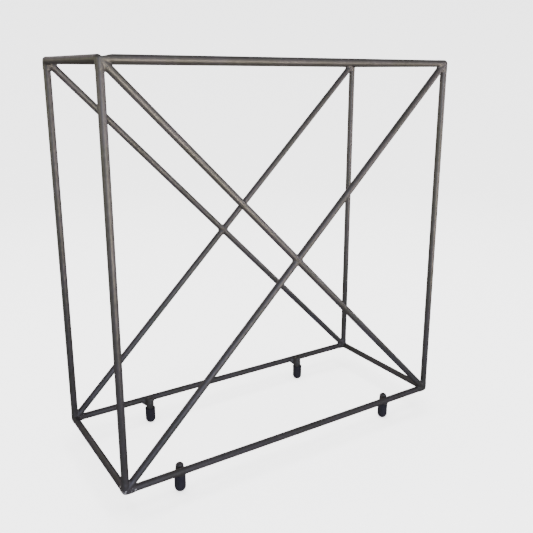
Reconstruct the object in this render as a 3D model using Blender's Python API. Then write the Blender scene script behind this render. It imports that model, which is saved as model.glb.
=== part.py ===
# Countertop rack of welded round steel rod on four rubber-capped feet.
# A front face and a back face, each a rectangle with a cross of diagonals, are held apart by
# four side rails. The four bays of the crosses are open from front to back.
# Metres, +Z up, front towards -Y. The origin is on the counter, under the middle of the rack.

import math
from collections import namedtuple

import bmesh
import bpy
from mathutils import Matrix, Vector

# Frame
ROD_DIAMETER = 0.008
FACE_WIDTH = 0.420              # between the axes of a face's uprights
FACE_HEIGHT = 0.424             # between the axes of its rails
FACE_SPACING = 0.172            # between the axes of the front and back faces
RAIL_HEIGHT = 0.0285            # axis of the bottom rails above the counter
END_SETBACK = 0.0004            # an upright's ends stop this far short of the rails' outer line
END_ROUNDING = 0.0014           # ground edge of an upright's ends
JOINT_GAP = 0.0003              # left between pieces that touch
CUT_OVERRUN = 0.004             # how far an upright's cutter passes its ends
BURIED_SHARE = 0.5              # of a rod's radius, from its axis to the buried end of what meets it

# Welds. Each bead fills the notch between two rods with a fillet, down to a thin edge, and
# swells over the rods by its crown.
WELD_EDGE = 0.0004
CORNER_WELD_FILLET = 0.0034
CORNER_WELD_CROWN = 0.0006
CROSS_WELD_FILLET = 0.0040
CROSS_WELD_CROWN = 0.0003
FOOT_WELD_FILLET = 0.0050
FOOT_WELD_DEPTH = 0.0048        # from front to back, under the rail
FOOT_WELD_INSET = 0.0022        # its middle further in than the rail's axis

# Feet
STEM_DIAMETER = 0.009
STEM_RISE = 0.0014              # top above the top of the rail
STEM_ROUNDING = 0.0034          # domed upper end
FRONT_FOOT_INSET = 0.064        # from an upright's axis to the foot's
BACK_FOOT_INSET = 0.094
CAP_WALL = 0.0015
CAP_FLOOR = 0.0032
CAP_REVEAL = 0.0020             # bare stem between the weld and the cap
CAP_RIM_ROUNDING = 0.0006
CAP_SOLE_DIAMETER = 0.0048      # flat that stands on the counter

# Facets
ROD_SIDES = 24
WELD_STEPS = 4                  # along a weld's fillet
ROUNDING_STEPS = 3
DOME_STEPS = 5

# Shares of one facet by which each kind of cutter is turned on its axis. They are all unlike,
# so that no corner of one lies on an edge of another or of the piece that it cuts.
UPRIGHT_TURN_SHARE = 0.40
RAIL_TURN_SHARE = 0.26
SIDE_RAIL_TURN_SHARE = 0.70
LONG_DIAGONAL_TURN_SHARE = 0.33
HALF_DIAGONAL_TURN_SHARE = 0.17
STEM_TURN_SHARE = 0.22

ROD_RADIUS = ROD_DIAMETER / 2
STEM_RADIUS = STEM_DIAMETER / 2
CAP_BORE_RADIUS = STEM_RADIUS + JOINT_GAP
CAP_RADIUS = CAP_BORE_RADIUS + CAP_WALL
SOLE_RADIUS = CAP_SOLE_DIAMETER / 2

# A ring is one cross-section of a lofted piece: its place along the piece, its half width and
# its half depth.
Ring = namedtuple("Ring", "place width depth")


def clear_scene():
    for old in list(bpy.data.objects):
        bpy.data.objects.remove(old, do_unlink=True)


def make_material(name, colour, roughness, metallic):
    material = bpy.data.materials.new(name)
    material.use_nodes = True
    shader = material.node_tree.nodes["Principled BSDF"]
    shader.inputs["Base Color"].default_value = (*colour, 1.0)
    shader.inputs["Roughness"].default_value = roughness
    shader.inputs["Metallic"].default_value = metallic
    return material


def round_ring(place, radius):
    return Ring(place, radius, radius)


def ring_shape(ring):
    """Where a unit circle goes to become the ring."""
    size = Matrix.Diagonal((ring.width, ring.depth, 1.0, 1.0))
    return Matrix.Translation((0.0, 0.0, ring.place)) @ size


def loft(name, rings, facet_turn=0.0):
    """A closed mesh extruded from ring to ring, flat at the first and the last. Its facets
    can be turned by a share of one of them, so that they cross another rod's cleanly."""
    form = bmesh.new()
    turn = Matrix.Rotation(facet_turn * math.tau / ROD_SIDES, 4, "Z")
    shape = ring_shape(rings[0]) @ turn
    bmesh.ops.create_circle(form, segments=ROD_SIDES, radius=1.0, cap_ends=True, matrix=shape)
    edges = list(form.edges)
    for ring in rings[1:]:
        extruded = bmesh.ops.extrude_edge_only(form, edges=edges)["geom"]
        edges = [part for part in extruded if isinstance(part, bmesh.types.BMEdge)]
        corners = [part for part in extruded if isinstance(part, bmesh.types.BMVert)]
        last_shape, shape = shape, ring_shape(ring) @ turn
        bmesh.ops.transform(form, matrix=shape @ last_shape.inverted(), verts=corners)
    bmesh.ops.edgeloop_fill(form, edges=edges)
    bmesh.ops.recalc_face_normals(form, faces=form.faces)
    mesh = bpy.data.meshes.new(name)
    form.to_mesh(mesh)
    form.free()
    mesh.shade_smooth()
    mesh.set_sharp_from_angle(angle=math.radians(35))
    return mesh


def put(name, mesh, parent, location, axis=None):
    """Stand a mesh at a place under its parent. An axis turns its +Z that way and, as near as
    that allows, its +X upright, so that a weld's width lies in the plane of its face."""
    piece = bpy.data.objects.new(name, mesh)
    bpy.context.scene.collection.objects.link(piece)
    piece.parent = parent
    piece.location = location
    if axis:
        piece.rotation_euler = axis.to_track_quat("Z", "X").to_euler()
    return piece


def put_steel(name, mesh, *place):
    piece = put(name, mesh, *place)
    mesh.materials.append(STEEL)
    return piece


def put_cutter(name, rings, turn_share, *place):
    """A shape that cuts its neighbours and is no piece of the rack."""
    cutter = put(name, loft(name, rings, turn_share), *place)
    cutter.hide_render = True
    cutter.display_type = "WIRE"
    return cutter


def cut_clear(piece, *cutters):
    """Shape a piece to the ones that it meets, which keep the joint gap to it."""
    for cutter in cutters:
        cut = piece.modifiers.new("clear of " + cutter.name, "BOOLEAN")
        cut.operation = "DIFFERENCE"
        cut.solver = "EXACT"
        cut.object = cutter


def rounded_end(radius, rounding):
    """Offsets and radii of an end's rounded edge, from its flat outwards."""
    turns = [math.pi / 2 * step / ROUNDING_STEPS for step in range(ROUNDING_STEPS + 1)]
    return [(rounding * (1 - math.cos(turn)), radius - rounding * (1 - math.sin(turn)))
            for turn in turns]


def plain_rings(length, radius):
    return [round_ring(0.0, radius), round_ring(length, radius)]


def rounded_rings(length, radius, rounding):
    edge = rounded_end(radius, rounding)
    low = [round_ring(offset, size) for offset, size in edge]
    return low + [round_ring(length - offset, size) for offset, size in reversed(edge)]


class Rod:
    """A rod and its cutter, the same rod grown by the joint gap, which copes its neighbours."""

    def __init__(self, name, parent, start, end, turn_share, rounding=0.0, overrun=0.0):
        run = end - start
        along = run.normalized()
        rings = plain_rings(run.length, ROD_RADIUS)
        if rounding:
            rings = rounded_rings(run.length, ROD_RADIUS, rounding)
        self.piece = put_steel(name, loft(name, rings), parent, start, along)
        grown = plain_rings(run.length + overrun * 2, ROD_RADIUS + JOINT_GAP)
        self.cutter = put_cutter(name + "_cutter", grown, turn_share, parent,
                                 start - along * overrun, along)

    def cope(self, *others):
        cut_clear(self.piece, *(other.cutter for other in others))


def fillet_rings(root, radius, fillet, depth, crown):
    """Rings of a bead along a rod of that radius, from its root, where it is fullest, down the
    arc of its fillet to a thin edge."""
    last_turn = math.asin(1 - (JOINT_GAP + WELD_EDGE) / fillet)
    rings = []
    for step in range(WELD_STEPS + 1):
        turn = last_turn * step / WELD_STEPS
        rings.append(Ring(root + fillet * (1 - math.cos(turn)),
                          radius + fillet * (1 - math.sin(turn)),
                          depth + crown * (1 - step / WELD_STEPS)))
    return rings


def add_rod_weld(name, parent, start, end, rings, *rods):
    """A bead round a rod's end at the start, fitted over the rods that meet there."""
    bead = put_steel(name, loft(name, rings), parent, start, (end - start).normalized())
    cut_clear(bead, *(rod.cutter for rod in rods))


def diagonal_slope():
    """The smaller angle between a diagonal and the two rods that it meets at a corner."""
    slope = math.atan2(FACE_WIDTH, FACE_HEIGHT)
    return min(slope, math.pi / 2 - slope)


def notch_root(angle, fillet):
    """Along a rod, from where its axis meets another's, to where a fillet's arc starts on the
    other rod's side."""
    return (ROD_RADIUS + (ROD_RADIUS + fillet) * math.cos(angle)) / math.sin(angle)


def collar_rings(start, angle, fillet, crown):
    """A bead round a diagonal, from a low start to the fillet in its notch at that angle."""
    low = ROD_RADIUS + JOINT_GAP + WELD_EDGE
    root = notch_root(angle, fillet)
    return [round_ring(start, low)] + fillet_rings(root, ROD_RADIUS, fillet, low, crown)


def corner_weld_rings():
    """A corner's bead, which starts clear of the side rail."""
    start = ROD_RADIUS + JOINT_GAP * 2
    return collar_rings(start, diagonal_slope(), CORNER_WELD_FILLET, CORNER_WELD_CROWN)


def cross_weld_rings():
    """The bead between a half diagonal and the long one, which starts inside the long one."""
    start = ROD_RADIUS * BURIED_SHARE
    return collar_rings(start, diagonal_slope() * 2, CROSS_WELD_FILLET, CROSS_WELD_CROWN)


def frame_corners():
    half = FACE_WIDTH / 2
    top = RAIL_HEIGHT + FACE_HEIGHT
    return {
        "bottom_left": Vector((-half, 0.0, RAIL_HEIGHT)),
        "bottom_right": Vector((half, 0.0, RAIL_HEIGHT)),
        "top_left": Vector((-half, 0.0, top)),
        "top_right": Vector((half, 0.0, top)),
    }


def make_outline(side, face, corner):
    """The uprights, which run through to the corners, and the rails coped between them."""
    rods = {}
    reach = Vector((0.0, 0.0, ROD_RADIUS - END_SETBACK))
    for hand in ("left", "right"):
        rods[hand + "_upright"] = Rod(
            side + "_" + hand + "_upright", face, corner["bottom_" + hand] - reach,
            corner["top_" + hand] + reach, UPRIGHT_TURN_SHARE, END_ROUNDING, CUT_OVERRUN)
    for level in ("top", "bottom"):
        rail = Rod(side + "_" + level + "_rail", face, corner[level + "_left"],
                   corner[level + "_right"], RAIL_TURN_SHARE)
        rail.cope(rods["left_upright"], rods["right_upright"])
        rods[level + "_rail"] = rail
    return rods


def make_side_rails(outlines, corner):
    """Rods that hold the two faces apart, coped to the uprights and rails at both ends."""
    offset = Vector((0.0, FACE_SPACING / 2 - ROD_RADIUS * BURIED_SHARE, 0.0))
    rails = {}
    for place in corner:
        level, hand = place.split("_")
        rail = Rod(place + "_side_rail", None, corner[place] - offset,
                   corner[place] + offset, SIDE_RAIL_TURN_SHARE)
        for rods in outlines.values():
            rail.cope(rods[hand + "_upright"], rods[level + "_rail"])
        rails[place] = rail
    return rails


def make_cross(side, face, corner, rods, side_rails):
    """One diagonal runs through from the top left, and the other meets it in two halves."""
    through = Rod(side + "_long_diagonal", face, corner["top_left"], corner["bottom_right"],
                  LONG_DIAGONAL_TURN_SHARE)
    middle = (corner["top_left"] + corner["bottom_right"]) / 2
    diagonals = {"top_left": through, "bottom_right": through}
    for place, part in (("bottom_left", "lower"), ("top_right", "upper")):
        half = Rod(side + "_half_diagonal_" + part, face, corner[place], middle,
                   HALF_DIAGONAL_TURN_SHARE)
        half.cope(through)
        add_rod_weld(side + "_weld_cross_" + part, face, middle, corner[place],
                     cross_weld_rings(), half, through)
        diagonals[place] = half
    for place, diagonal in diagonals.items():
        level, hand = place.split("_")
        edges = (rods[hand + "_upright"], rods[level + "_rail"])
        diagonal.cope(*edges, side_rails[place])
        add_rod_weld(side + "_weld_" + place, face, corner[place], middle,
                     corner_weld_rings(), diagonal, *edges)


def stem_rings(bottom, top):
    """A foot's stem, flat below and domed above."""
    rings = [round_ring(bottom, STEM_RADIUS)]
    for offset, size in reversed(rounded_end(STEM_RADIUS, STEM_ROUNDING)):
        rings.append(round_ring(top - offset, size))
    return rings


def cap_rings(height):
    """A rubber cap as one turned wall: up its bore, over its rim and down round its dome."""
    rings = [round_ring(CAP_FLOOR, CAP_BORE_RADIUS), round_ring(height, CAP_BORE_RADIUS)]
    for offset, size in rounded_end(CAP_RADIUS, CAP_RIM_ROUNDING):
        rings.append(round_ring(height - offset, size))
    middle = math.sqrt(CAP_RADIUS ** 2 - SOLE_RADIUS ** 2)
    last_turn = math.acos(SOLE_RADIUS / CAP_RADIUS)
    for step in range(DOME_STEPS + 1):
        turn = last_turn * step / DOME_STEPS
        rings.append(round_ring(middle - CAP_RADIUS * math.sin(turn),
                                CAP_RADIUS * math.cos(turn)))
    return rings


def foot_weld_rings():
    """The bead in the notches between a stem's sides and the underside of its rail, from its
    lower edge up into the rail."""
    rings = fillet_rings(ROD_RADIUS, STEM_RADIUS, FOOT_WELD_FILLET, FOOT_WELD_DEPTH / 2, 0.0)
    rings.insert(0, rings[0]._replace(place=ROD_RADIUS * BURIED_SHARE))
    return [ring._replace(place=RAIL_HEIGHT - ring.place) for ring in reversed(rings)]


def make_feet(side, face, rail, inset):
    """Two feet, welded to the inner side of a face's bottom rail."""
    inward = 1 if side == "front" else -1
    spacing = ROD_RADIUS + JOINT_GAP + STEM_RADIUS
    top = RAIL_HEIGHT + ROD_RADIUS + STEM_RISE
    weld = foot_weld_rings()
    for hand, way in (("left", -1), ("right", 1)):
        name = side + "_" + hand + "_foot"
        across = way * (FACE_WIDTH / 2 - inset)
        place = Vector((across, inward * spacing, 0.0))
        stem = loft(name + "_stem", stem_rings(CAP_FLOOR + JOINT_GAP, top))
        put_steel(name + "_stem", stem, face, place)
        grown = plain_rings(top, STEM_RADIUS + JOINT_GAP)
        stem_cutter = put_cutter(name + "_stem_cutter", grown, STEM_TURN_SHARE, face, place)
        bead = put_steel(name + "_weld", loft(name + "_weld", weld), face,
                         Vector((across, inward * FOOT_WELD_INSET, 0.0)))
        cut_clear(bead, stem_cutter, rail.cutter)
        cap = put(name + "_cap", loft(name + "_cap", cap_rings(weld[0].place - CAP_REVEAL)),
                  face, place)
        cap.data.materials.append(RUBBER)


def make_face(side, parent, way):
    face = bpy.data.objects.new(side + "_face", None)
    bpy.context.scene.collection.objects.link(face)
    face.parent = parent
    face.location = (0.0, way * FACE_SPACING / 2, 0.0)
    return face


clear_scene()
STEEL = make_material("gunmetal_steel", (0.14, 0.132, 0.126), 0.38, 0.85)
RUBBER = make_material("black_rubber", (0.014, 0.014, 0.016), 0.62, 0.0)

rack = bpy.data.objects.new("rack", None)
bpy.context.scene.collection.objects.link(rack)
corners = frame_corners()
faces = {"front": make_face("front", rack, -1), "back": make_face("back", rack, 1)}
face_outlines = {side: make_outline(side, face, corners) for side, face in faces.items()}
rails_between = make_side_rails(face_outlines, corners)
for side, inset in (("front", FRONT_FOOT_INSET), ("back", BACK_FOOT_INSET)):
    make_cross(side, faces[side], corners, face_outlines[side], rails_between)
    make_feet(side, faces[side], face_outlines[side]["bottom_rail"], inset)
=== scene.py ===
import math

import bmesh
import bpy
from mathutils import Matrix, Vector


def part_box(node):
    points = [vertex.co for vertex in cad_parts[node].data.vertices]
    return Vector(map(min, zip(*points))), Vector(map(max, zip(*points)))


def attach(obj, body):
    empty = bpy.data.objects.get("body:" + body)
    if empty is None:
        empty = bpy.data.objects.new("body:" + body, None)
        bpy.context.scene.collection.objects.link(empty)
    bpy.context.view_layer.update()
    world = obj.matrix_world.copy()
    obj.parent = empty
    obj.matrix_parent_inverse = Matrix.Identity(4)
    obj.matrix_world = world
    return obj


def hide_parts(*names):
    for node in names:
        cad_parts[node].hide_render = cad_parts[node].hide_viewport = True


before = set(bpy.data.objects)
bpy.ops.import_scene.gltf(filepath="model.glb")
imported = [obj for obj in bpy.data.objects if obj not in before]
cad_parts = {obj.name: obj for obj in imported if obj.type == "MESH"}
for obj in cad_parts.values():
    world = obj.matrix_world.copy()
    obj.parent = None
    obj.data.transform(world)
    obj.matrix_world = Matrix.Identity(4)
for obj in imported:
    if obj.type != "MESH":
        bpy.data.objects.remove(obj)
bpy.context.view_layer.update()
print("frame loaded with", len(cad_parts), "nodes")


# Places and sizes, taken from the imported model
def nodeMiddle(node):
    low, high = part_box(node)
    return (low + high) / 2


def nodeSize(node):
    low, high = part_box(node)
    return high - low


def axisEnds(node):
    # Bottom and top of the axis of a piece that stands upright
    middle = nodeMiddle(node)
    return [Vector((middle.x, middle.y, end.z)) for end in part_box(node)]


rodRadius = nodeSize("front_left_upright").x / 2
stemRadius = nodeSize("front_left_foot_stem").x / 2
leftUpright = nodeMiddle("front_left_upright")
topZ = nodeMiddle("front_top_rail").z
bottomZ = nodeMiddle("front_bottom_rail").z
faceY = leftUpright.y
topLeft = Vector((leftUpright.x, faceY, topZ))
topRight = Vector((-leftUpright.x, faceY, topZ))
bottomLeft = Vector((leftUpright.x, faceY, bottomZ))
bottomRight = Vector((-leftUpright.x, faceY, bottomZ))
faceMiddle = (topLeft + bottomRight) / 2
backward = Vector((0, 1, 0))
upward = Vector((0, 0, 1))
toRight = Vector((1, 0, 0))


# Helpers for working as by hand
def useOnly(piece):
    bpy.ops.object.select_all(action="DESELECT")
    piece.select_set(True)
    bpy.context.view_layer.objects.active = piece


def takeNew(name):
    # The primitive just added, with its place put into its mesh
    piece = bpy.context.object
    piece.name = name
    piece.data.name = name
    bpy.ops.object.transform_apply(location=True, rotation=True, scale=True)
    return piece


def startShaping(piece):
    useOnly(piece)
    bpy.ops.object.mode_set(mode="EDIT")
    bpy.ops.mesh.select_mode(type="FACE")


def pickFaces(piece, wanted):
    bpy.ops.mesh.select_all(action="DESELECT")
    form = bmesh.from_edit_mesh(piece.data)
    for face in form.faces:
        if wanted(face):
            face.select_set(True)
    bmesh.update_edit_mesh(piece.data)


def stopShaping():
    bpy.ops.object.mode_set(mode="OBJECT")


squareOn = 0.9                   # least cosine between a face's normal and the way it faces


def facing(direction, limit=squareOn):
    return lambda face: face.normal.dot(direction) > limit


def pull(by):
    # Extrude the picked faces or edges
    bpy.ops.mesh.extrude_region_move(TRANSFORM_OT_translate={"value": by})


def roundOff(piece, wanted, width, steps):
    # Round the edges of the wanted faces
    startShaping(piece)
    pickFaces(piece, wanted)
    bpy.ops.mesh.bevel(offset=width, segments=steps, affect="EDGES")
    stopShaping()


def recalculateNormals(piece):
    startShaping(piece)
    bpy.ops.mesh.select_all(action="SELECT")
    bpy.ops.mesh.normals_make_consistent(inside=False)
    stopShaping()


def finishWith(piece, kind, **settings):
    useOnly(piece)
    modifier = piece.modifiers.new(kind.lower(), kind)
    for name, value in settings.items():
        setattr(modifier, name, value)
    bpy.ops.object.modifier_apply(modifier=modifier.name)


sharpEdge = 35                   # degrees between faces from which their edge stays sharp


def smoothShading(piece, degrees=sharpEdge):
    useOnly(piece)
    bpy.ops.object.shade_smooth_by_angle(angle=math.radians(degrees))


def joinAll(parts, name):
    bpy.ops.object.select_all(action="DESELECT")
    for part in parts:
        part.select_set(True)
    bpy.context.view_layer.objects.active = parts[0]
    bpy.ops.object.join()
    parts[0].name = name
    parts[0].data.name = name
    return parts[0]


def scaledAbout(middle, x=1, y=1, z=1):
    scaling = Matrix.Diagonal((x, y, z, 1))
    return Matrix.Translation(middle) @ scaling @ Matrix.Translation(-middle)


def copyTo(source, name, place):
    copy = source.copy()
    copy.data = source.data.copy()
    copy.name = name
    copy.data.name = name
    bpy.context.collection.objects.link(copy)
    copy.data.transform(place)
    if place.determinant() < 0:
        recalculateNormals(copy)
    return copy


def pieceName(node):
    first, *others = node.split("_")
    return first + "".join(word.capitalize() for word in others)


# Shader maths: a wire is a node's output, and each operator adds a Math node
class Wire:
    def __init__(self, tree, socket=None):
        self.tree = tree
        self.socket = socket

    def node(self, kind, settings={}, values={}, output=0):
        made = self.tree.nodes.new(kind)
        for name, value in settings.items():
            setattr(made, name, value)
        for name, value in values.items():
            if isinstance(value, Wire):
                self.tree.links.new(value.socket, made.inputs[name])
            else:
                made.inputs[name].default_value = value
        return Wire(self.tree, made.outputs[output])

    def math(self, operation, *values):
        return self.node("ShaderNodeMath", {"operation": operation}, dict(enumerate(values)))

    def __add__(self, other):
        return self.math("ADD", self, other)

    def __radd__(self, other):
        return self.math("ADD", other, self)

    def __sub__(self, other):
        return self.math("SUBTRACT", self, other)

    def __rsub__(self, other):
        return self.math("SUBTRACT", other, self)

    def __mul__(self, other):
        return self.math("MULTIPLY", self, other)

    def __rmul__(self, other):
        return self.math("MULTIPLY", other, self)

    def noise(self, scale, detail, roughness=0.5):
        # Values from 0 to 1 at the point that this wire carries
        return self.node("ShaderNodeTexNoise", {}, {
            "Vector": self, "Scale": scale, "Detail": detail, "Roughness": roughness})

    def between(self, low, high):
        # 0 up to the first value and 1 from the second on, with a soft step between them. The
        # second may be the lower one.
        return self.node("ShaderNodeMapRange", {"interpolation_type": "SMOOTHSTEP"}, {
            "Value": self, "From Min": low, "From Max": high})

    def height(self):
        # The third part of the point that this wire carries
        return self.node("ShaderNodeSeparateXYZ", {}, {"Vector": self}, 2)

    def mixed(self, colour, other):
        # The first colour where this wire is 0, and the other where it is 1
        return self.node("ShaderNodeMix", {"data_type": "RGBA"}, {
            0: self, 6: colour, 7: other}, 2)

    def bump(self):
        # The normal of a surface that this wire lifts, in metres
        return self.node("ShaderNodeBump", {}, {
            "Height": self, "Strength": 1.0, "Distance": 1.0})


def makeMaterial(name, constants):
    material = bpy.data.materials.new(name)
    material.use_nodes = True
    tree = material.node_tree
    shader = tree.nodes["Principled BSDF"]
    for socket, value in constants.items():
        shader.inputs[socket].default_value = value
    place = Wire(tree).node("ShaderNodeTexCoord", output="Object")
    return material, place, shader


def feed(shader, **wires):
    for name, wire in wires.items():
        socket = shader.inputs[name.replace("_", " ")]
        wire.tree.links.new(wire.socket, socket)


# Lacquered steel
steelLook = {
    "lacquer": (0.149, 0.140, 0.138, 1),
    "olive": (0.135, 0.131, 0.118, 1),
    "worn": (0.224, 0.210, 0.202, 1),
    "dark": (0.087, 0.083, 0.087, 1),
    # Bare steel at the chips, lightened to near white as a painted glint
    "chip": (0.720, 0.710, 0.700, 1),
    "metallic": 0.60,
    "edgeTint": (0.20, 0.20, 0.21, 1),
    "roughness": 0.50,
    "cloudNoise": (28, 4),       # scale, detail and, where it isn't a half, roughness
    "cloudSpread": (0.42, 0.62),  # of the noise, from lacquer to olive
    "mottleNoise": (190, 5, 0.65),
    "darkSpread": (0.50, 0.72),
    "darkShare": 0.28,
    "wornSpread": (0.50, 0.30),
    "wornShare": 0.26,
    "mottleRoughness": 0.14,     # from the smoothest to the roughest patch
    "streakNoise": (900, 3, 0.6),
    "streakStretch": 0.03,       # along the rod
    "streakSpread": (0.52, 0.75),
    "streakShare": 0.25,
    "streakRoughness": 0.12,
    "streakDepth": 0.000012,
    "peelNoise": (700, 2),
    "peelDepth": 0.000010,
    "chipGlintNoise": (400, 2),
    "chipGlintSpread": (0.56, 0.59),  # of the noise, over which the lacquer is chipped to bare metal, lightened as a painted glint
    "chipGlintBand": (0.0322, 0.0308),  # heights between which, going down, the chips with their painted glints set in
}


def turnedAlong(place, direction):
    # The point with its third axis along a rod, for what runs lengthwise on it
    turn = direction.to_track_quat("Z", "X").inverted().to_euler()
    turned = place.node("ShaderNodeVectorRotate", {"rotation_type": "EULER_XYZ"}, {
        "Vector": place, "Rotation": turn})
    return turned.node("ShaderNodeVectorMath", {"operation": "MULTIPLY"}, {
        0: turned, 1: (1, 1, steelLook["streakStretch"])})


def makeSteel(name, direction=None, chippedWithGlints=False):
    look = steelLook
    material, place, shader = makeMaterial(name, {
        "Metallic": look["metallic"], "Specular Tint": look["edgeTint"]})
    clouds = place.noise(*look["cloudNoise"]).between(*look["cloudSpread"])
    mottle = place.noise(*look["mottleNoise"])
    base = clouds.mixed(look["lacquer"], look["olive"])
    base = (mottle.between(*look["darkSpread"]) * look["darkShare"]).mixed(base, look["dark"])
    base = (mottle.between(*look["wornSpread"]) * look["wornShare"]).mixed(base, look["worn"])
    relief = place.noise(*look["peelNoise"]) * look["peelDepth"]
    rough = look["roughness"] + (mottle - 0.5) * look["mottleRoughness"]
    if direction:
        streaks = turnedAlong(place, direction).noise(*look["streakNoise"])
        streaked = streaks.between(*look["streakSpread"]) * look["streakShare"]
        base = streaked.mixed(base, look["worn"])
        relief = relief + streaks * look["streakDepth"]
        rough = rough + (streaks - 0.5) * look["streakRoughness"]
    # Bare-metal chips in the lacquer, lightened to near white: painted glints on the weld's
    # spatter
    if chippedWithGlints:
        chipGlintMask = place.noise(*look["chipGlintNoise"]).between(*look["chipGlintSpread"])
        base = (chipGlintMask * place.height().between(*look["chipGlintBand"])).mixed(base, look["chip"])
    feed(shader, Base_Color=base, Roughness=rough, Normal=relief.bump())
    return material


# Rubber
rubberLook = {
    "rubber": (0.036, 0.034, 0.046, 1),
    "dusty": (0.068, 0.065, 0.080, 1),
    "roughness": 0.62,
    "dustNoise": (240, 4),
    "dustSpread": (0.45, 0.75),
    "dustShare": 0.5,
    "dustRoughness": 0.2,
    "grainNoise": (1600, 2),
    "grainDepth": 0.00002,
}


def makeRubber(name):
    look = rubberLook
    material, place, shader = makeMaterial(name, {})
    dust = place.noise(*look["dustNoise"]).between(*look["dustSpread"])
    base = (dust * look["dustShare"]).mixed(look["rubber"], look["dusty"])
    rough = look["roughness"] + (dust - 0.5) * look["dustRoughness"]
    relief = place.noise(*look["grainNoise"]) * look["grainDepth"]
    feed(shader, Base_Color=base, Roughness=rough, Normal=relief.bump())
    return material


downRight = (bottomRight - topLeft).normalized()
upRight = (topRight - bottomLeft).normalized()
steelAlong = {
    "upright": makeSteel("uprightSteel", upward),
    "rail": makeSteel("railSteel", toRight),
    "side": makeSteel("sideRailSteel", backward),
    "long": makeSteel("longDiagonalSteel", downRight),
    "half": makeSteel("halfDiagonalSteel", upRight),
    "stem": makeSteel("stemSteel", upward),
}
weldSteel = makeSteel("weldSteel")
# Weld steel with bare chips that are partly painted glints
glintChippedSteel = makeSteel("glintChippedSteel", chippedWithGlints=True)
capRubber = makeRubber("capRubber")
print("materials made")


def dress(piece, node, material):
    piece.data.materials.clear()
    piece.data.materials.append(material)
    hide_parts(node)
    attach(piece, "root")


# Rods
rodShape = {
    "sides": 64,
    "slack": 0.00008,            # thinner than its node, so that a flush weld covers it
    "endRounding": 0.0036,       # of an upright
    "endSteps": 10,
    "rootGap": 0.00008,          # between a coped end and the rod that it meets
    "cutterOver": 3,             # of a cutter past its rod's ends, in rod radii
    "cutterTurn": 0.03,          # of a cutter about its axis, so that no two share an edge
}
barRadius = rodRadius - rodShape["slack"]


def addRod(name, start, end, radius=barRadius, turn=0.0):
    run = end - start
    heading = run.to_track_quat("Z", "X").to_matrix() @ Matrix.Rotation(turn, 3, "Z")
    bpy.ops.mesh.primitive_cylinder_add(
        vertices=rodShape["sides"], radius=radius, depth=run.length,
        location=(start + end) / 2, rotation=heading.to_euler())
    return takeNew(name)


def cope(rod, others):
    # Fish-mouth the ends of a rod to the ones that it meets
    for number, (start, end) in enumerate(others):
        over = (end - start).normalized() * rodRadius * rodShape["cutterOver"]
        cutter = addRod("copingCutter", start - over, end + over,
                        barRadius + rodShape["rootGap"], rodShape["cutterTurn"] * (number + 1))
        finishWith(rod, "BOOLEAN", operation="DIFFERENCE", solver="EXACT", object=cutter)
        bpy.data.meshes.remove(cutter.data)


def addUpright(name):
    rod = addRod(name, *axisEnds("front_left_upright"))
    roundOff(rod, lambda face: abs(face.normal.z) > squareOn,
             rodShape["endRounding"], rodShape["endSteps"])
    return rod


leftEdge = (bottomLeft, topLeft)
rightEdge = (bottomRight, topRight)
topEdge = (topLeft, topRight)
bottomEdge = (bottomLeft, bottomRight)
sideLength = backward * abs(faceY) * 2

upright = addUpright("frontLeftUpright")
rail = addRod("frontTopRail", topLeft, topRight)
cope(rail, [leftEdge, rightEdge])
sideRail = addRod("topLeftSideRail", topLeft, topLeft + sideLength)
cope(sideRail, [leftEdge, topEdge,
                [end + sideLength for end in leftEdge], [end + sideLength for end in topEdge]])
longDiagonal = addRod("frontLongDiagonal", topLeft, bottomRight)
cope(longDiagonal, [leftEdge, topEdge, rightEdge, bottomEdge])
halfDiagonal = addRod("frontHalfDiagonalLower", bottomLeft, faceMiddle)
cope(halfDiagonal, [leftEdge, bottomEdge, (topLeft, bottomRight)])
for rod in (upright, rail, sideRail, longDiagonal, halfDiagonal):
    smoothShading(rod)
print("rods modelled")

# The ways that the front face's pieces are copied to where the same piece stands again
middle = Vector((0, 0, faceMiddle.z))
toBack = scaledAbout(middle, y=-1)
toOtherSide = scaledAbout(middle, x=-1)
toOtherLevel = scaledAbout(middle, z=-1)
halfTurn = toOtherSide @ toOtherLevel
inPlace = Matrix.Identity(4)

sides = {"front": inPlace, "back": toBack}
hands = {"left": inPlace, "right": toOtherSide}
levels = {"top": inPlace, "bottom": toOtherLevel}


def spread(source, material, places):
    # One dressed copy for each node, the first of them the modelled piece itself
    for node, place in places.items():
        if pieceName(node) == source.name:
            dress(source, node, material)
        else:
            dress(copyTo(source, pieceName(node), place), node, material)


spread(upright, steelAlong["upright"], {
    side + "_" + hand + "_upright": sides[side] @ hands[hand]
    for side in sides for hand in hands})
spread(rail, steelAlong["rail"], {
    side + "_" + level + "_rail": sides[side] @ levels[level]
    for side in sides for level in levels})
spread(sideRail, steelAlong["side"], {
    level + "_" + hand + "_side_rail": levels[level] @ hands[hand]
    for level in levels for hand in hands})
spread(longDiagonal, steelAlong["long"], {
    side + "_long_diagonal": sides[side] for side in sides})
spread(halfDiagonal, steelAlong["half"], {
    side + "_half_diagonal_" + part: sides[side] @ way
    for side in sides for part, way in (("lower", inPlace), ("upper", halfTurn))})
print("rods placed")


# The front top left corner, where the end of the top rail slopes down to the side rail
cornerDip = {
    "weld": "front_weld_top_left",
    "reach": 0.0120,             # from the upright's axis to where the rail has its full height
    "start": 0.0010,             # of the slope, from the upright's axis
    "back": 0.0036,              # of the slope, behind the upright's axis
    "slope": 12.5,
    "lean": 35,                  # of the cut's walls, off upright
    "coverSlope": 1.5,           # by which the rods slope more than the weld over them
    "cover": 0.0003,             # of weld over the rods at the cut's walls
    "cutter": 0.0400,
    "passes": 14,
}


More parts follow.
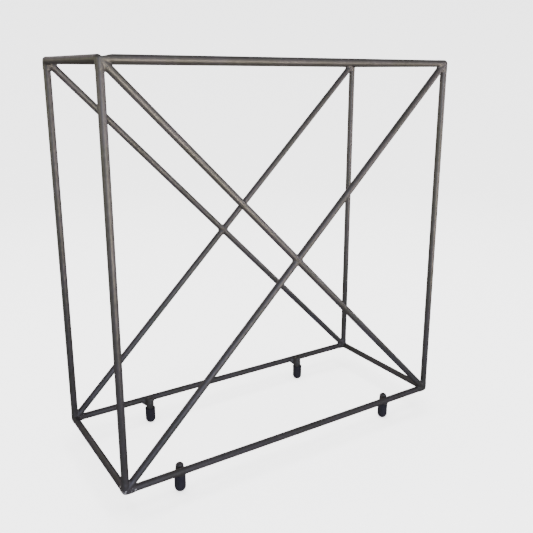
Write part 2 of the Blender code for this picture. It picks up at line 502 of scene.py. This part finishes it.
def carveDip(piece, steeper=0.0, deeper=0.0):
    look = cornerDip
    rise = math.tan(math.radians(look["slope"] + steeper))
    lean = math.tan(math.radians(look["lean"]))
    start = look["start"] - deeper
    edge = topLeft + toRight * start + backward * (look["back"] + deeper)
    edge += upward * (rodRadius - (look["reach"] - start) * rise)
    bpy.ops.mesh.primitive_cube_add(
        size=look["cutter"], location=edge + (toRight - backward + upward) * look["cutter"] / 2)
    cutter = takeNew("cornerCutter")
    tilt = Matrix(((1, 0, -lean, 0), (0, 1, lean, 0), (rise, 0, 1, 0), (0, 0, 0, 1)))
    cutter.data.transform(Matrix.Translation(edge) @ tilt @ Matrix.Translation(-edge))
    finishWith(piece, "BOOLEAN", operation="DIFFERENCE", solver="EXACT", object=cutter)
    bpy.data.meshes.remove(cutter.data)


for rod in (upright, rail, sideRail):
    carveDip(rod, cornerDip["coverSlope"], cornerDip["cover"])
    smoothShading(rod)

# Welds, each a lump of overlapping stretches, melted together
weldShape = {
    "sides": 40,
    "endSquareOn": 0.99,         # least cosine of a stretch's end, past its steepest side
    "grain": 0.00030,            # size of the remeshed faces
    "grindGrain": 0.000001,      # how close to a cut a corner counts as on it
    "grindDepth": 0.00002,       # of the ground planes, under the rods' outer sides
    "roundTurns": (20, 42, 66),  # of the stations of a round end, from its tip
    "creasePasses": 8,
    "smoothing": 0.5,            # of each smoothing pass
    "lumpSize": 0.0036,
    "lumpHeight": 0.00026,
    "rippleSize": 0.0012,
    "rippleHeight": 0.00006,
    "lumpMiddle": 0.3,           # value of the clouds at which the metal stays in place
    "lumpDetail": 1,
    "sharpEdge": 50,
    # The weld whose chips carry painted glints
    "chippedWithGlints": "front_weld_bottom_left",
}


def addStretch(start, along, stations, flatness=1.0):
    # A stretch of weld along a line: pairs of a place on it and a radius. Flatness is its
    # depth, front to back, as a share of its width.
    (first, firstRadius), (second, secondRadius), *others = stations
    heading = along.to_track_quat("Z", "Y").to_euler()
    bpy.ops.mesh.primitive_cone_add(
        vertices=weldShape["sides"], radius1=firstRadius, radius2=secondRadius,
        depth=second - first, location=start + along * (first + second) / 2, rotation=heading)
    stretch = takeNew("weldStretch")
    startShaping(stretch)
    pickFaces(stretch, facing(along, weldShape["endSquareOn"]))
    place, radius = second, secondRadius
    for nextPlace, nextRadius in others:
        pull(along * (nextPlace - place))
        bpy.ops.transform.resize(value=(nextRadius / radius,) * 3,
                                 center_override=start + along * nextPlace)
        place, radius = nextPlace, nextRadius
    stopShaping()
    stretch.data.transform(scaledAbout(start, y=flatness))
    return stretch


def roundStart(radius):
    # Stations of a round end with its middle at the line's start
    turns = [math.radians(turn) for turn in weldShape["roundTurns"]]
    return [(-radius * math.cos(turn), radius * math.sin(turn)) for turn in turns]


def remesh(lump):
    finishWith(lump, "REMESH", mode="VOXEL", voxel_size=weldShape["grain"], adaptivity=0.0)


def swell(lump, height):
    finishWith(lump, "DISPLACE", strength=height, mid_level=0.0)


def smoothOut(lump, passes):
    finishWith(lump, "SMOOTH", factor=weldShape["smoothing"], iterations=passes)


def melt(parts, name, fillet, passes):
    # Run the stretches of a weld into one lump. It is swelled and shrunk back by the radius of
    # its fillets, which fills its notches and leaves the rest as it was.
    lump = joinAll(parts, name)
    remesh(lump)
    swell(lump, fillet)
    remesh(lump)
    smoothOut(lump, weldShape["creasePasses"])
    swell(lump, -fillet)
    remesh(lump)
    smoothOut(lump, passes)
    return lump


def cutFlush(lump, point, outward):
    # Grind a lump flat at a plane
    startShaping(lump)
    bpy.ops.mesh.select_all(action="SELECT")
    bpy.ops.mesh.bisect(plane_co=point, plane_no=outward, use_fill=True, clear_outer=True,
                        threshold=weldShape["grindGrain"])
    stopShaping()


def addLumps(lump):
    # Uneven metal, different at each place
    for size, height in (("lumpSize", "lumpHeight"), ("rippleSize", "rippleHeight")):
        clouds = bpy.data.textures.new(size, "CLOUDS")
        clouds.noise_scale = weldShape[size]
        clouds.noise_depth = weldShape["lumpDetail"]
        finishWith(lump, "DISPLACE", texture=clouds, texture_coords="LOCAL",
                   strength=weldShape[height], mid_level=weldShape["lumpMiddle"])
        bpy.data.textures.remove(clouds)
    smoothShading(lump, weldShape["sharpEdge"])


def spreadWelds(source, places):
    # A copy for each node, with lumps of its own
    welds = {}
    for node, place in places.items():
        welds[node] = copyTo(source, pieceName(node), place)
        if node == cornerDip["weld"]:
            carveDip(welds[node])
            remesh(welds[node])
            smoothOut(welds[node], cornerDip["passes"])
        addLumps(welds[node])
        dress(welds[node], node, glintChippedSteel if node == weldShape["chippedWithGlints"] else weldSteel)
    bpy.data.meshes.remove(source.data)
    return welds


# Corner welds: where a diagonal, an upright, a rail and a side rail meet
cornerWeld = {
    "railReach": 0.0118,
    "railSwell": 0.00030,        # over the rail
    "uprightReach": 0.0120,
    "uprightSwell": 0.00014,
    "diagonalReach": 0.0145,
    "diagonalSwell": 0.00022,
    "sideReach": 0.0095,
    "sideSwell": 0.00016,
    "swellStart": 0.6,           # where the swell is full, in rod radii
    "toe": 0.0042,               # length of the slope at its ends
    "fade": 0.0003,              # below the rods' surface there
    "webReach": 0.0114,          # of the fill between a diagonal and a neighbour
    "webShares": ((0.6, 0.93), (0.9, 0.62), (1, 0.36)),  # of its reach and of its radius
    "fillet": 0.0008,
    "passes": 7,
}


def addCornerWeld():
    look = cornerWeld
    low = rodRadius - look["fade"]
    down = -upward
    ways = {"rail": toRight, "upright": down, "diagonal": downRight, "side": backward}
    parts = []
    for rod, direction in ways.items():
        reach = look[rod + "Reach"]
        full = rodRadius + look[rod + "Swell"]
        parts.append(addStretch(topLeft, direction, roundStart(rodRadius) + [
            (0, rodRadius), (rodRadius * look["swellStart"], full),
            (reach - look["toe"], full), (reach, low)]))
    web = [(0, low)] + [
        (look["webReach"] * along, low * width) for along, width in look["webShares"]]
    for neighbour in (toRight, down):
        parts.append(addStretch(topLeft, (downRight + neighbour).normalized(), web))
    return melt(parts, "cornerWeld", look["fillet"], look["passes"])


def grindCorner(weld, corner):
    # Ground flush with the rods on the outer sides of the frame
    outward = Vector((math.copysign(1, corner.x), 0, 0))
    vertical = upward * math.copysign(1, corner.z - faceMiddle.z)
    for side in (outward, vertical):
        cutFlush(weld, corner + side * (rodRadius - weldShape["grindDepth"]), side)


cornerWelds = spreadWelds(addCornerWeld(), {
    side + "_weld_" + level + "_" + hand: sides[side] @ levels[level] @ hands[hand]
    for side in sides for level in levels for hand in hands})
for node, weld in cornerWelds.items():
    side, _, level, hand = node.split("_")
    grindCorner(weld, sides[side] @ levels[level] @ hands[hand] @ topLeft)
print("corner welds made")

# Crossing welds: round the end of a half diagonal, where it meets the long one
crossWeld = {
    "fade": 0.0003,              # below the rods' surface, so that only the fillets show
    "halfStart": (0.2, 0.9),     # in rod radii and as a share of the radius
    "halfReach": 0.0120,
    "longReach": 0.0105,
    "longTaper": 0.95,           # of the radius at its ends
    "fillet": 0.0036,
    "passes": 10,
}


def addCrossWeld():
    look = crossWeld
    low = rodRadius - look["fade"]
    reach, tip = look["longReach"], low * look["longTaper"]
    along, width = look["halfStart"]
    parts = [
        addStretch(faceMiddle, -upRight, [
            (rodRadius * along, low * width), (look["halfReach"], low)]),
        addStretch(faceMiddle, downRight, [
            (-reach, tip), (-rodRadius, low), (rodRadius, low), (reach, tip)]),
    ]
    return melt(parts, "crossWeld", look["fillet"], look["passes"])


spreadWelds(addCrossWeld(), {
    side + "_weld_cross_" + part: sides[side] @ way
    for side in sides for part, way in (("lower", inPlace), ("upper", halfTurn))})
print("crossing welds made")

# Feet: a domed stem welded inside the bottom rail, in a turned rubber cap
footShape = {
    "domeOffset": 0.0036,
    "domeSteps": 10,
    "capSides": 72,
    "capDomeSteps": 12,
    "capRim": 0.0004,
    "capRimSteps": 4,
    "capRimDepth": 0.0005,       # under the cap's top, in which its rim is looked for
    "capWall": 0.0015,
    "capFloor": 0.0032,
    "soleRadius": 0.0024,
    "beadHeight": 0.0014,
    "beadSwell": 0.0002,
}
footNodes = [side + "_" + hand + "_foot" for side in sides for hand in hands]


def footPlace(name):
    # From the front left foot to another
    return Matrix.Translation(nodeMiddle(name + "_stem") - nodeMiddle("front_left_foot_stem"))


def addStem(name):
    rod = addRod(name, *axisEnds("front_left_foot_stem"), stemRadius)
    roundOff(rod, facing(upward), footShape["domeOffset"], footShape["domeSteps"])
    smoothShading(rod)
    return rod


def addCap(name):
    look = footShape
    _, top = axisEnds("front_left_foot_cap")
    radius = nodeSize("front_left_foot_cap").x / 2
    domeTop = math.sqrt(radius ** 2 - look["soleRadius"] ** 2)
    beadStart = top.z - look["beadHeight"]
    beadSize = 1 + look["beadSwell"] / radius
    axisPoint = Vector((top.x, top.y, 0))
    bpy.ops.mesh.primitive_cylinder_add(
        vertices=look["capSides"], radius=radius, depth=beadStart - domeTop,
        location=axisPoint + upward * (beadStart + domeTop) / 2)
    cap = takeNew(name)
    startShaping(cap)
    pickFaces(cap, facing(-upward))
    lastTurn = math.acos(look["soleRadius"] / radius)
    size, height = radius, domeTop
    for step in range(1, look["capDomeSteps"] + 1):
        turn = lastTurn * step / look["capDomeSteps"]
        nextSize, nextHeight = radius * math.cos(turn), domeTop - radius * math.sin(turn)
        pull(upward * (nextHeight - height))
        bpy.ops.transform.resize(value=(nextSize / size, nextSize / size, 1),
                                 center_override=axisPoint)
        size, height = nextSize, nextHeight
    pickFaces(cap, facing(upward))
    pull(upward * look["beadSwell"])
    bpy.ops.transform.resize(value=(beadSize, beadSize, 1), center_override=axisPoint)
    pull(upward * (look["beadHeight"] - look["beadSwell"]))
    bpy.ops.mesh.inset(thickness=look["capWall"])
    pull(upward * (look["capFloor"] - top.z))
    stopShaping()
    facesUp, rimLevel = facing(upward), top.z - look["capRimDepth"]
    roundOff(cap, lambda face: facesUp(face) and face.calc_center_median().z > rimLevel,
             look["capRim"], look["capRimSteps"])
    smoothShading(cap)
    return cap


stem = addStem("frontLeftFootStem")
cap = addCap("frontLeftFootCap")
spread(stem, steelAlong["stem"], {name + "_stem": footPlace(name) for name in footNodes})
spread(cap, capRubber, {name + "_cap": footPlace(name) for name in footNodes})
print("feet made")

# Foot welds: in the notches between the stem and its rail
footWeld = {
    "fillet": 0.0044,
    "swell": 0.0003,
    "fade": 0.0003,              # below the surfaces of the stem and the rail at its ends
    "stemFade": 0.0006,          # below the stem's at the top of its lump
    "stemStart": 0.4,            # of that lump, above the rail's axis, in rod radii
    "stemSwellStart": 0.3,       # of its swell, below the rail's axis
    "railFade": 0.4,             # of the fade, beside the stem
    "apronInset": 0.0030,        # its middle, in from the rail's axis
    "apronFlatness": 0.30,
    # Shares of the rod's radius and of the fillet down the apron, then of the stem's radius and
    # of the fillet across it
    "apronShares": ((-0.3, 0, 1, 0.7), (0.8, 0, 1, 1), (1, 0.25, 1, 0.45), (1, 0.6, 1, 0.1),
                    (1, 1, 0.7, 0)),
    "fill": 0.0018,              # radius of the fillets round the contact
    "passes": 16,
}


def addFootWeld():
    look = footWeld
    stemAxis = nodeMiddle("front_left_foot_stem")
    railPoint = Vector((stemAxis.x, faceY, bottomZ))
    stemPoint = Vector((stemAxis.x, stemAxis.y, bottomZ))
    fillet, fade = look["fillet"], look["fade"]
    full = stemRadius + look["swell"]
    beside = rodRadius - fade * look["railFade"]
    parts = [
        addStretch(stemPoint, -upward, [
            (-rodRadius * look["stemStart"], stemRadius - look["stemFade"]),
            (rodRadius * look["stemSwellStart"], full), (rodRadius, full),
            (rodRadius + fillet, stemRadius - fade)]),
        addStretch(railPoint, toRight, [
            (-stemRadius - fillet, rodRadius - fade), (-stemRadius, beside),
            (stemRadius, beside), (stemRadius + fillet, rodRadius - fade)]),
        addStretch(railPoint + backward * look["apronInset"], -upward, [
            (rodRadius * down + fillet * further, stemRadius * across + fillet * wider)
            for down, further, across, wider in look["apronShares"]], look["apronFlatness"]),
    ]
    return melt(parts, "footWeld", look["fill"], look["passes"])


def footWeldPlace(side, hand):
    across = nodeMiddle(side + "_" + hand + "_foot_stem") - nodeMiddle("front_left_foot_stem")
    return Matrix.Translation(toRight * across.x) @ sides[side]


spreadWelds(addFootWeld(), {
    side + "_" + hand + "_foot_weld": footWeldPlace(side, hand)
    for side in sides for hand in hands})
print("foot welds made")

# Studio: a pale floor that curves up into a pale wall all round
studio = {
    "floorRadius": 3.2,
    "floorSides": 96,
    "wallHeight": 3.0,
    "curve": 1.4,
    "curveSteps": 16,
    "sharpEdge": 60,
    "paint": (0.80, 0.80, 0.80, 1),
    "roughness": 0.9,
    "glow": 3.0,                 # of the paint, for an even ground behind the rack
    "surroundings": (0.236, 0.226, 0.240, 1),
    "lights": {
        "warmLight": {"place": (0.2, -0.9, 0.02), "aim": (0.0, 0.0, 0.47), "width": 1.0,
                      "height": 0.2, "spread": 45, "power": 1.60, "colour": (1.0, 0.88, 0.70)},
        "rightLight": {"place": (1.5, -0.8, 0.32), "aim": (0.0, 0.0, 0.30), "width": 0.8,
                       "height": 0.3, "spread": 25, "power": 0.34, "colour": (0.93, 0.86, 1.0)},
        "leftLight": {"place": (-1.6, -0.3, 0.55), "aim": (-0.2, 0.0, 0.44), "width": 0.8,
                      "height": 0.5, "spread": 30, "power": 0.28, "colour": (1.0, 0.98, 0.74)},
        "backLight": {"place": (-1.2, 1.4, 0.48), "aim": (-0.2, 0.0, 0.45), "width": 0.8,
                      "height": 0.4, "spread": 30, "power": 0.22, "colour": (1.0, 0.98, 0.70)},
        "farLight": {"place": (0.0, 2.2, 1.05), "aim": (0.0, 0.0, 0.45), "width": 1.6,
                     "height": 0.9, "spread": 50, "power": 1.60, "colour": (1.0, 0.88, 0.88)},
        "stripLight": {"place": (-0.9, -1.6, 0.45), "aim": (0.0, 0.0, 0.25), "width": 0.3,
                       "height": 1.6, "spread": 120, "power": 1.60,
                       "colour": (0.20, 0.34, 1.0)},
        "frontLight": {"place": (-0.3, -1.8, 0.50), "aim": (0.0, 0.0, 0.22), "width": 0.25,
                       "height": 1.4, "spread": 90, "power": 3.5, "colour": (0.80, 0.86, 1.0)},
        "floorLight": {"place": (0.0, 0.0, 2.6), "aim": (0.0, 0.0, 0.0), "width": 3.0,
                       "height": 3.0, "spread": 180, "power": 210, "colour": (1.0, 1.0, 1.0)},
    },
}


def makeFloor():
    look = studio
    bpy.ops.mesh.primitive_circle_add(
        vertices=look["floorSides"], radius=look["floorRadius"], fill_type="NGON")
    floor = takeNew("studioFloor")
    startShaping(floor)
    bpy.ops.mesh.select_mode(type="EDGE")
    bpy.ops.mesh.select_all(action="SELECT")
    bpy.ops.mesh.region_to_loop()
    pull(upward * look["wallHeight"])
    form = bmesh.from_edit_mesh(floor.data)
    bpy.ops.mesh.select_all(action="DESELECT")
    for edge in form.edges:
        if all(corner.co.z < look["wallHeight"] / 2 for corner in edge.verts):
            edge.select_set(True)
    bmesh.update_edit_mesh(floor.data)
    bpy.ops.mesh.bevel(offset=look["curve"], segments=look["curveSteps"], affect="EDGES")
    stopShaping()
    smoothShading(floor, look["sharpEdge"])
    material, _, _ = makeMaterial("studioPaint", {
        "Base Color": look["paint"], "Roughness": look["roughness"],
        "Emission Color": look["paint"], "Emission Strength": look["glow"]})
    floor.data.materials.append(material)
    # The rack mirrors the lights and not the floor and the wall. These light nothing, so they
    # aren't sampled as a light.
    material.cycles.emission_sampling = "NONE"
    floor.visible_glossy = False
    floor.visible_diffuse = False
    return floor


def makeWorld():
    world = bpy.data.worlds.new("studioWorld")
    bpy.context.scene.world = world
    world.use_nodes = True
    world.node_tree.nodes["Background"].inputs["Color"].default_value = studio["surroundings"]


def makeLights(floor):
    for name, look in studio["lights"].items():
        bpy.ops.object.light_add(type="AREA", location=look["place"])
        light = bpy.context.object
        light.name = name
        aim = Vector(look["aim"]) - light.location
        light.rotation_euler = aim.to_track_quat("-Z", "Y").to_euler()
        light.data.shape = "RECTANGLE"
        light.data.size = look["width"]
        light.data.size_y = look["height"]
        light.data.spread = math.radians(look["spread"])
        light.data.energy = look["power"]
        light.data.color = look["colour"]
        light.visible_camera = False
    # The floor's own light brightens the floor and leaves the rods alone
    floorOnly = bpy.data.collections.new("floorOnly")
    floorOnly.objects.link(floor)
    bpy.data.objects["floorLight"].light_linking.receiver_collection = floorOnly


# Camera, where the photograph was taken from
photoView = {
    "place": (-0.4022, -0.6596, 0.4428),
    "pan": 33.43,                # to the right of straight back, in degrees
    "tilt": 14.63,               # below level
    "roll": 0.318,
    "lens": 44.48,
    "sensor": 36,
    "shift": (-0.0252, -0.0441),
    "nearest": 0.01,             # that it sees
}


def makeCamera():
    look = photoView
    bpy.ops.object.camera_add(location=look["place"])
    camera = bpy.context.object
    camera.name = "photoCamera"
    turn = Matrix.Rotation(-math.radians(look["pan"]), 3, "Z")
    turn = turn @ Matrix.Rotation(math.radians(90 - look["tilt"]), 3, "X")
    turn = turn @ Matrix.Rotation(math.radians(look["roll"]), 3, "Z")
    camera.rotation_euler = turn.to_euler()
    camera.data.lens = look["lens"]
    camera.data.sensor_width = look["sensor"]
    camera.data.shift_x, camera.data.shift_y = look["shift"]
    camera.data.clip_start = look["nearest"]
    bpy.context.scene.camera = camera


studioFloor = makeFloor()
makeWorld()
makeLights(studioFloor)
makeCamera()
print("studio made")
